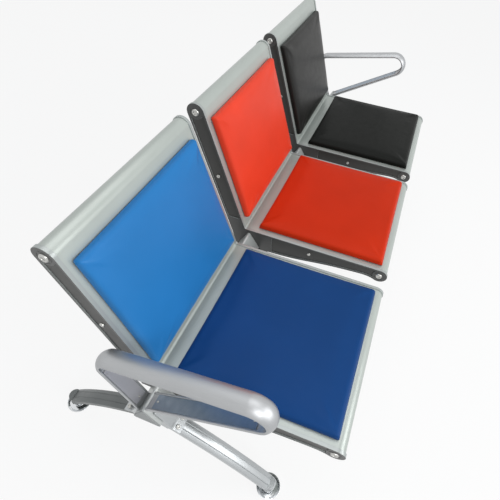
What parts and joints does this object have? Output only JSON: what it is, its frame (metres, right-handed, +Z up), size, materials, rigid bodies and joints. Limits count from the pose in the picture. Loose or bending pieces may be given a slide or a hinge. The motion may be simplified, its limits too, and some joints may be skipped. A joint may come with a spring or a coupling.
{
  "type": "beam seating",
  "caption": "Row of upholstered steel seats on one triangular beam, with arched cast legs and loop armrests at both ends, levelling feet",
  "frame": {"origin": "on the floor, under the middle of the whole row's bounding box", "axes": "+X along the beam towards the sitter's left-hand end, the sitter faces -Y, +Z up"},
  "size_m": [1.776, 0.8366, 0.8091],
  "materials": {
    "beam_paint": "satin powder coat, light grey",
    "cap_plastic": "fine matt",
    "sheet_paint": "satin silver powder coat",
    "plate_paint": "satin silver powder coat, darker web",
    "blue_leather": "smooth coated, light sheen",
    "red_leather": "smooth coated, light sheen",
    "black_leather": "smooth coated, light sheen",
    "plywood": "raw plywood",
    "dark_steel": "satin black",
    "zinc_steel": "zinc plated",
    "liner_strip": "dark satin strip, light sheen",
    "cast_aluminium": "polished casting",
    "foot_chrome": "bright chrome",
    "sole_rubber": "moulded rubber"
  },
  "bodies": {
    "frame": {"armrest_screws": "zinc_steel", "beam": "beam_paint", "beam_cap_left": "cap_plastic", "beam_cap_right": "cap_plastic", "foot_lock_nuts": "zinc_steel", "left_armrest": "cast_aluminium", "left_armrest_liners": "liner_strip", "left_back_board": "plywood", "left_back_cushion": "blue_leather", "left_clamp_straps": "dark_steel", "left_front_leg": "cast_aluminium", "left_hub": "cast_aluminium", "left_left_plate": "plate_paint", "left_rear_leg": "cast_aluminium", "left_right_plate": "plate_paint", "left_rod_screws": "zinc_steel", "left_seat_board": "plywood", "left_seat_cushion": "blue_leather", "left_shell": "sheet_paint", "left_tie_rods": "dark_steel", "leg_bolts": "zinc_steel", "middle_back_board": "plywood", "middle_back_cushion": "red_leather", "middle_clamp_straps": "dark_steel", "middle_left_plate": "plate_paint", "middle_right_plate": "plate_paint", "middle_rod_screws": "zinc_steel", "middle_seat_board": "plywood", "middle_seat_cushion": "red_leather", "middle_shell": "sheet_paint", "middle_tie_rods": "dark_steel", "right_armrest": "cast_aluminium", "right_armrest_liners": "liner_strip", "right_back_board": "plywood", "right_back_cushion": "black_leather", "right_clamp_straps": "dark_steel", "right_front_leg": "cast_aluminium", "right_hub": "cast_aluminium", "right_left_plate": "plate_paint", "right_rear_leg": "cast_aluminium", "right_right_plate": "plate_paint", "right_rod_screws": "zinc_steel", "right_seat_board": "plywood", "right_seat_cushion": "black_leather", "right_shell": "sheet_paint", "right_tie_rods": "dark_steel", "strap_bolts": "zinc_steel"},
    "left_front_foot": {"left_front_foot_dish": "foot_chrome", "left_front_foot_sole": "sole_rubber", "left_front_foot_stud": "zinc_steel"},
    "left_rear_foot": {"left_rear_foot_dish": "foot_chrome", "left_rear_foot_sole": "sole_rubber", "left_rear_foot_stud": "zinc_steel"},
    "right_front_foot": {"right_front_foot_dish": "foot_chrome", "right_front_foot_sole": "sole_rubber", "right_front_foot_stud": "zinc_steel"},
    "right_rear_foot": {"right_rear_foot_dish": "foot_chrome", "right_rear_foot_sole": "sole_rubber", "right_rear_foot_stud": "zinc_steel"}
  },
  "joints": [
    {"name": "left_front_foot_height", "type": "slide", "parent": "frame", "child": "left_front_foot", "axis": [0, 0, 1], "range_m": [-0.015, 0]},
    {"name": "left_rear_foot_height", "type": "slide", "parent": "frame", "child": "left_rear_foot", "axis": [0, 0, 1], "range_m": [-0.015, 0]},
    {"name": "right_front_foot_height", "type": "slide", "parent": "frame", "child": "right_front_foot", "axis": [0, 0, 1], "range_m": [-0.015, 0]},
    {"name": "right_rear_foot_height", "type": "slide", "parent": "frame", "child": "right_rear_foot", "axis": [0, 0, 1], "range_m": [-0.015, 0]}
  ]
}
